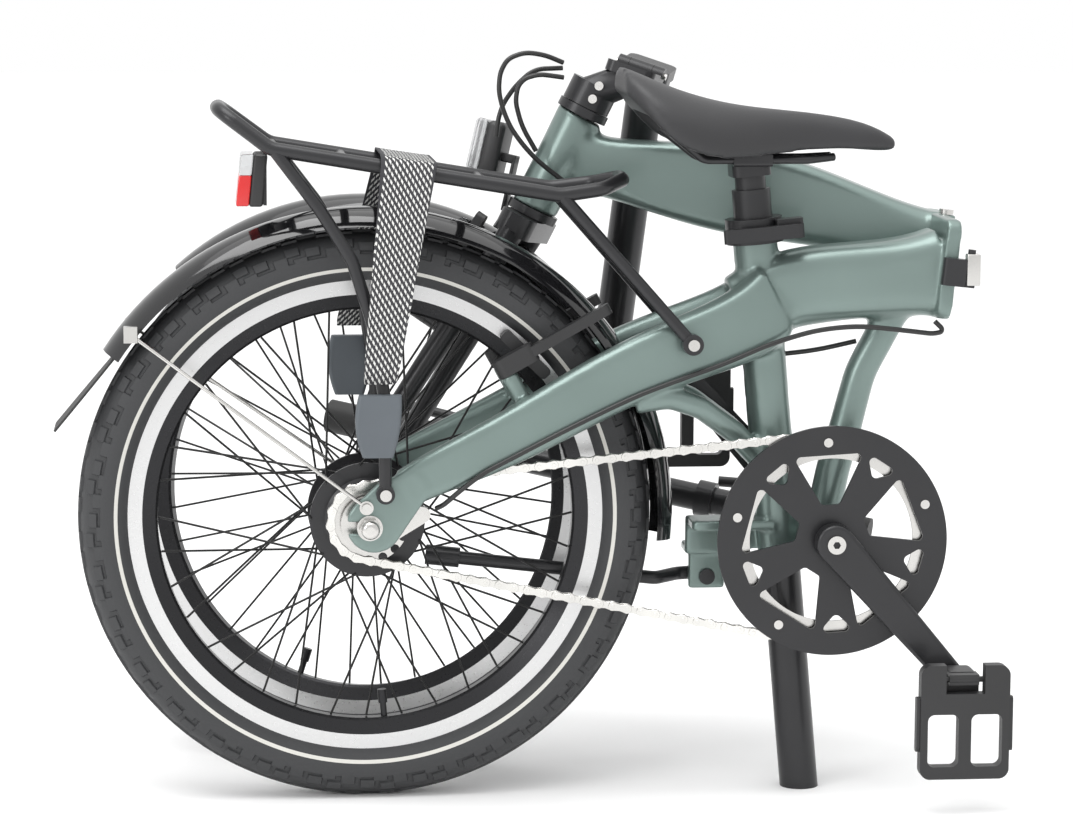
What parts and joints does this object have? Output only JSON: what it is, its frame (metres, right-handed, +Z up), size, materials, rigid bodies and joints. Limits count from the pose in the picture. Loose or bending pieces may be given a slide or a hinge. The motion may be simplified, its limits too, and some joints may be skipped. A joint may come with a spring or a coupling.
{
  "type": "folding bicycle",
  "caption": "Folding bicycle folded for carrying, with swept alloy frame, small wheels, fenders, rear rack with strap, lights, folding pedals and kickstand.",
  "frame": {"origin": "on the floor straight below the rear axle, where the rear tyre touches", "axes": "+X forward along the rear half of the bicycle, +Y to the rider's left, +Z up; stored folded, standing on both tyres and the seat post"},
  "size_m": [0.8212, 0.4888, 0.65],
  "materials": {
    "sage_paint": "satin metallic",
    "black_alloy": "satin",
    "bright_steel": "bright",
    "spoke_black": "satin",
    "black_plastic": "satin",
    "fender_gloss": "gloss",
    "tyre": "matte",
    "grip_rubber": "matte",
    "cable_cover": "satin",
    "strap_web": "woven",
    "saddle_skin": "matte",
    "lamp_red": "gloss"
  },
  "bodies": {
    "rear": {"rear_frame": "sage_paint", "frame_hinge_pin": "bright_steel", "frame_bolts": "bright_steel", "bottom_bracket_cups": "black_alloy", "rear_axle": "bright_steel", "shift_box": "black_plastic", "chain": "bright_steel", "rear_fender": "fender_gloss", "mudflap": "grip_rubber", "rear_fender_stays": "bright_steel", "rear_rack": "black_alloy", "luggage_strap": "strap_web", "strap_buckles": "black_plastic", "rear_light": "lamp_red", "rear_cables": "cable_cover", "seat_clamp": "black_alloy"},
    "rear_wheel": {"rear_hub_shell": "black_alloy", "rear_rim": "black_alloy", "rear_tyre": "tyre", "rear_spokes": "spoke_black"},
    "sprocket": {"rear_sprocket": "bright_steel"},
    "crank": {"crank_axle": "bright_steel", "chainring": "bright_steel", "chain_guard": "black_plastic", "right_crank": "black_alloy", "left_crank": "black_alloy", "pedal_spindles": "bright_steel"},
    "right_pedal": {"right_pedal_hub": "black_plastic"},
    "right_platform": {"right_pedal_platform": "black_plastic"},
    "left_pedal": {"left_pedal_hub": "black_plastic"},
    "left_platform": {"left_pedal_platform": "black_plastic"},
    "kickstand": {"kickstand": "black_alloy"},
    "seat": {"seat_post": "black_alloy", "saddle_cover": "saddle_skin", "saddle_rails": "black_alloy"},
    "seat_lever": {"seat_clamp_lever": "black_alloy"},
    "frame_latch": {"frame_latch": "black_alloy"},
    "front": {"front_frame": "sage_paint", "headset_cups": "black_alloy", "front_cables": "cable_cover"},
    "steerer": {"fork": "sage_paint", "front_axle": "bright_steel", "front_fender": "fender_gloss", "headlight": "black_plastic", "handlepost_base": "black_alloy", "handlepost_pin": "bright_steel"},
    "front_wheel": {"front_hub_shell": "black_alloy", "front_rim": "black_alloy", "front_tyre": "tyre", "front_spokes": "spoke_black"},
    "handlepost": {"handlepost": "black_alloy"},
    "handlepost_latch": {"handlepost_latch": "black_alloy"},
    "bar": {"handlebar": "black_alloy", "grips": "grip_rubber"},
    "right_lever": {"right_brake_lever": "black_alloy"},
    "left_lever": {"left_brake_lever": "black_alloy"},
    "rear_brake_right": {"rear_brake_right": "black_alloy"},
    "rear_brake_left": {"rear_brake_left": "black_alloy"},
    "front_brake_right": {"front_brake_right": "black_alloy"},
    "front_brake_left": {"front_brake_left": "black_alloy"}
  },
  "joints": [
    {"name": "frame_fold", "type": "hinge", "parent": "rear", "child": "front", "pos_m": [0.514, 0.04, 0.464], "axis": [-0.1097, 0, -0.994], "range_deg": [0, 170.5]},
    {"name": "steering", "type": "hinge", "parent": "front", "child": "steerer", "pos_m": [0.14736, 0.13189, 0.48244], "axis": [0.4398, -0.0476, 0.8969], "range_deg": [0, 2.5]},
    {"name": "handlepost_fold", "type": "hinge", "parent": "steerer", "child": "handlepost", "pos_m": [0.25698, 0.13927, 0.63218], "axis": [0.8923, -0.3372, -0.3002], "range_deg": [0, 165]},
    {"name": "bar_turn", "type": "hinge", "parent": "handlepost", "child": "bar", "pos_m": [0.26716, 0.16291, 0.63588], "axis": [0.0987, -0.195, 0.9758], "range_deg": [0, 90]},
    {"name": "rear_wheel_spin", "type": "hinge", "parent": "rear", "child": "rear_wheel", "pos_m": [0, 0, 0.25], "axis": [0, 1, 0], "continuous": true},
    {"name": "front_wheel_spin", "type": "hinge", "parent": "steerer", "child": "front_wheel", "pos_m": [0.00248, 0.15458, 0.24868], "axis": [-0.3198, -0.9414, 0.1068], "continuous": true},
    {"name": "crank_spin", "type": "hinge", "parent": "rear", "child": "crank", "pos_m": [0.4045, 0, 0.23], "axis": [0, 1, 0], "range_deg": [0, 140]},
    {"name": "sprocket_spin", "type": "hinge", "parent": "rear", "child": "sprocket", "pos_m": [0, 0, 0.25], "axis": [0, 1, 0], "range_deg": [0, 403]},
    {"name": "right_pedal_spin", "type": "hinge", "parent": "crank", "child": "right_pedal", "pos_m": [0.51031, -0.09, 0.10998], "axis": [0, -1, 0], "range_deg": [0, 180]},
    {"name": "left_pedal_spin", "type": "hinge", "parent": "crank", "child": "left_pedal", "pos_m": [0.29869, 0.09, 0.35002], "axis": [0, -1, 0], "range_deg": [0, 180]},
    {"name": "right_pedal_fold", "type": "hinge", "parent": "right_pedal", "child": "right_platform", "pos_m": [0.51031, -0.111, 0.11798], "axis": [-1, 0, 0], "range_deg": [0, 90]},
    {"name": "left_pedal_fold", "type": "hinge", "parent": "left_pedal", "child": "left_platform", "pos_m": [0.29869, 0.111, 0.35802], "axis": [1, 0, 0], "range_deg": [0, 90]},
    {"name": "kickstand_swing", "type": "hinge", "parent": "rear", "child": "kickstand", "pos_m": [0.306, 0.035, 0.185], "axis": [0, -1, 0], "range_deg": [0, 75]},
    {"name": "seat_post_slide", "type": "slide", "parent": "rear", "child": "seat", "axis": [-0.0932, 0, 0.9956], "range_m": [0, 0.23]},
    {"name": "seat_lever_turn", "type": "hinge", "parent": "rear", "child": "seat_lever", "pos_m": [0.374, -0.031, 0.5], "axis": [0.0932, 0, -0.9956], "range_deg": [-45, 0]},
    {"name": "frame_latch_turn", "type": "hinge", "parent": "rear", "child": "frame_latch", "pos_m": [0.50205, -0.0425, 0.46488], "axis": [0.1097, 0, 0.994], "range_deg": [-90, 0]},
    {"name": "handlepost_latch_turn", "type": "hinge", "parent": "handlepost", "child": "handlepost_latch", "pos_m": [0.2754, 0.18665, 0.6337], "axis": [-0.8923, 0.3372, 0.3002], "range_deg": [-60, 0]},
    {"name": "right_lever_pull", "type": "hinge", "parent": "bar", "child": "right_lever", "pos_m": [0.1384, 0.31184, 0.27695], "axis": [0.0987, -0.195, 0.9758], "range_deg": [0, 12], "stiffness_Nm_per_rad": 0.6},
    {"name": "left_lever_pull", "type": "hinge", "parent": "bar", "child": "left_lever", "pos_m": [0.34517, 0.22869, 0.23942], "axis": [-0.0987, 0.195, -0.9758], "range_deg": [0, 12], "stiffness_Nm_per_rad": 0.6},
    {"name": "rear_brake_right_close", "type": "hinge", "parent": "rear", "child": "rear_brake_right", "pos_m": [0.1215, -0.04, 0.3762], "axis": [-0.4872, 0, 0.8733], "range_deg": [0, 1.8]},
    {"name": "rear_brake_left_close", "type": "hinge", "parent": "rear", "child": "rear_brake_left", "pos_m": [0.1215, 0.04, 0.3762], "axis": [0.4872, 0, -0.8733], "range_deg": [0, 1.8]},
    {"name": "front_brake_right_close", "type": "hinge", "parent": "steerer", "child": "front_brake_right", "pos_m": [0.08961, 0.18703, 0.40226], "axis": [0.7881, -0.3269, -0.5215], "range_deg": [0, 1.8]},
    {"name": "front_brake_left_close", "type": "hinge", "parent": "steerer", "child": "front_brake_left", "pos_m": [0.06274, 0.10794, 0.41123], "axis": [-0.7881, 0.3269, 0.5215], "range_deg": [0, 1.8]}
  ],
  "couplings": [
    {"joint": "bar_turn", "follows": "handlepost_fold", "ratio": 0.54545},
    {"joint": "sprocket_spin", "follows": "crank_spin", "ratio": 2.875},
    {"joint": "rear_brake_right_close", "follows": "right_lever_pull", "ratio": 0.1499},
    {"joint": "rear_brake_left_close", "follows": "right_lever_pull", "ratio": 0.1499},
    {"joint": "front_brake_right_close", "follows": "left_lever_pull", "ratio": 0.1499},
    {"joint": "front_brake_left_close", "follows": "left_lever_pull", "ratio": 0.1499}
  ]
}
